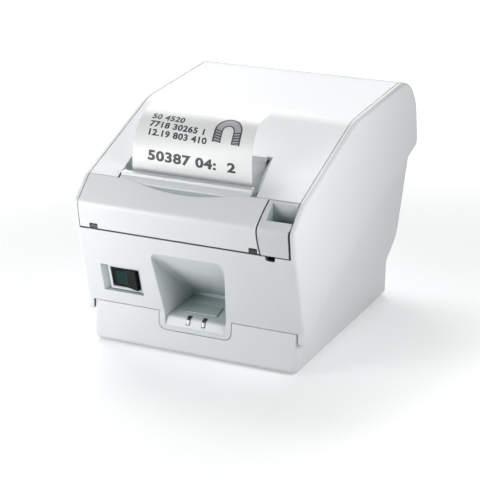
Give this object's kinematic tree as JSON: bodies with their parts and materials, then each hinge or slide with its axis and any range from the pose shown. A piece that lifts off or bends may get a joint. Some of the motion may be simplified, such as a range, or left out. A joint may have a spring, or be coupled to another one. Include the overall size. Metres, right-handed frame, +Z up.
{
  "type": "thermal receipt printer",
  "caption": "Desktop thermal receipt printer with sloping hinged lid, tilting front cover, release lever, scooped front with feed key, rocker switch and a printed ticket curling from the exit.",
  "frame": {"origin": "on the table under the middle of the body's width and depth", "axes": "+X to the right of someone in front, +Y from the nose to the back, +Z up"},
  "size_m": [0.151, 0.213, 0.1538],
  "materials": {
    "case_white": "fine satin moulded plastic, cool off-white",
    "case_white_lower": "fine satin moulded plastic, cool off-white",
    "lid_white": "fine satin moulded plastic, cool off-white",
    "key_grey": "satin moulded plastic",
    "switch_black": "moulded black plastic",
    "switch_white": "moulded white plastic",
    "pipe_clear": "moulded dark light pipe",
    "paper": "smooth coated paper",
    "card": "wound card tube",
    "bucket_grey": "matt moulded plastic",
    "rubber_black": "ground black rubber",
    "steel": "bright plated steel",
    "steel_dark": "blackened steel",
    "blade_steel": "ground steel",
    "aluminium": "extruded aluminium",
    "ceramic": "glazed ceramic",
    "bronze": "sintered bronze",
    "gear_white": "moulded acetal",
    "board_green": "lacquered circuit board",
    "lamp": "clear lamp",
    "spring_steel": "bright spring wire",
    "print_black": "heat-blackened paper coating",
    "print_grey": "heat-greyed paper coating"
  },
  "bodies": {
    "chassis": {"lower_case": "case_white_lower", "upper_case": "case_white", "hinge_rod": "steel", "idler_pin": "steel", "feed_motor": "steel_dark", "frame_side_left": "steel", "frame_side_right": "steel", "head_bracket": "steel", "head_springs": "spring_steel", "cutter_frame": "steel", "cutter_motor": "steel_dark", "roll_bucket": "bucket_grey", "paper_web": "paper", "switch_body": "switch_white", "panel_board": "board_green", "feed_switch": "switch_black", "status_lights": "lamp", "light_pipes": "pipe_clear", "main_board": "board_green", "interface_panel": "steel", "panel_screws": "steel", "power_inlet": "switch_black", "drawer_kick_jack": "switch_black", "usb_port": "steel", "rubber_feet": "rubber_black", "case_screws": "steel_dark", "cover_pivots": "switch_black"},
    "rear_cover": {"rear_cover": "lid_white", "fixed_blade": "blade_steel", "platen_bushings": "bronze", "printed_ticket": "paper"},
    "platen": {"platen_roller": "rubber_black", "platen_shaft": "steel", "platen_gear": "gear_white"},
    "paper_roll": {"paper_roll": "paper", "roll_core": "card"},
    "idler_gear": {"idler_gear": "gear_white"},
    "motor_pinion": {"motor_pinion": "bronze"},
    "front_cover": {"front_cover": "lid_white", "tear_bar": "lid_white"},
    "cover_lever": {"cover_lever": "lid_white", "latch_shaft": "steel", "latch_hooks": "steel", "latch_spring": "spring_steel"},
    "feed_key": {"feed_key": "key_grey"},
    "power_rocker": {"power_rocker": "switch_black"},
    "moving_blade": {"moving_blade": "blade_steel", "blade_carrier": "gear_white"},
    "cutter_pinion": {"cutter_pinion": "gear_white"},
    "thermal_head": {"thermal_head": "ceramic", "head_sink": "aluminium"}
  },
  "joints": [
    {"name": "cover_hinge", "type": "hinge", "parent": "chassis", "child": "rear_cover", "pos_m": [0, 0.0985, 0.094], "axis": [-1, 0, 0], "range_deg": [0, 75]},
    {"name": "roll_spin", "type": "hinge", "parent": "chassis", "child": "paper_roll", "pos_m": [-0.00555, 0.0385, 0.0613], "axis": [-1, 0, 0], "continuous": true},
    {"name": "platen_spin", "type": "hinge", "parent": "rear_cover", "child": "platen", "pos_m": [-0.00555, -0.0705, 0.088], "axis": [-1, 0, 0], "continuous": true},
    {"name": "idler_spin", "type": "hinge", "parent": "chassis", "child": "idler_gear", "pos_m": [-0.0562, -0.06131, 0.067], "axis": [-1, 0, 0], "continuous": true},
    {"name": "motor_spin", "type": "hinge", "parent": "chassis", "child": "motor_pinion", "pos_m": [-0.0562, -0.0605, 0.048], "axis": [-1, 0, 0], "continuous": true},
    {"name": "front_cover_tilt", "type": "hinge", "parent": "chassis", "child": "front_cover", "pos_m": [0, -0.1027, 0.0824], "axis": [1, 0, 0], "range_deg": [0, 32]},
    {"name": "lever_pull", "type": "hinge", "parent": "chassis", "child": "cover_lever", "pos_m": [0, -0.0865, 0.066], "axis": [1, 0, 0], "range_deg": [0, 9], "stiffness_Nm_per_rad": 0.25, "springref_deg": -8.59},
    {"name": "feed_key_press", "type": "slide", "parent": "chassis", "child": "feed_key", "axis": [0, 0, -1], "range_m": [0, 0.0008], "stiffness_N_per_m": 400, "springref_m": -0.0004},
    {"name": "rocker_tip", "type": "hinge", "parent": "chassis", "child": "power_rocker", "pos_m": [-0.0461, -0.09016, 0.04736], "axis": [0, -0.2529, 0.9675], "range_deg": [0, 16]},
    {"name": "blade_slide", "type": "slide", "parent": "chassis", "child": "moving_blade", "axis": [0, 1, 0], "range_m": [0, 0.006]},
    {"name": "cutter_spin", "type": "hinge", "parent": "chassis", "child": "cutter_pinion", "pos_m": [0.018, -0.0915, 0.094], "axis": [1, 0, 0], "range_deg": [-82, 0]},
    {"name": "head_rock", "type": "hinge", "parent": "chassis", "child": "thermal_head", "pos_m": [0, -0.0835, 0.0736], "axis": [1, 0, 0], "range_deg": [0, 1.5], "stiffness_Nm_per_rad": 0.6, "springref_deg": -2.86}
  ],
  "couplings": [
    {"joint": "platen_spin", "follows": "roll_spin", "ratio": 4.75},
    {"joint": "idler_spin", "follows": "roll_spin", "ratio": -2.7708},
    {"joint": "motor_spin", "follows": "roll_spin", "ratio": 8.8667},
    {"joint": "cutter_spin", "follows": "blade_slide", "rad_per_m": -238.1}
  ]
}
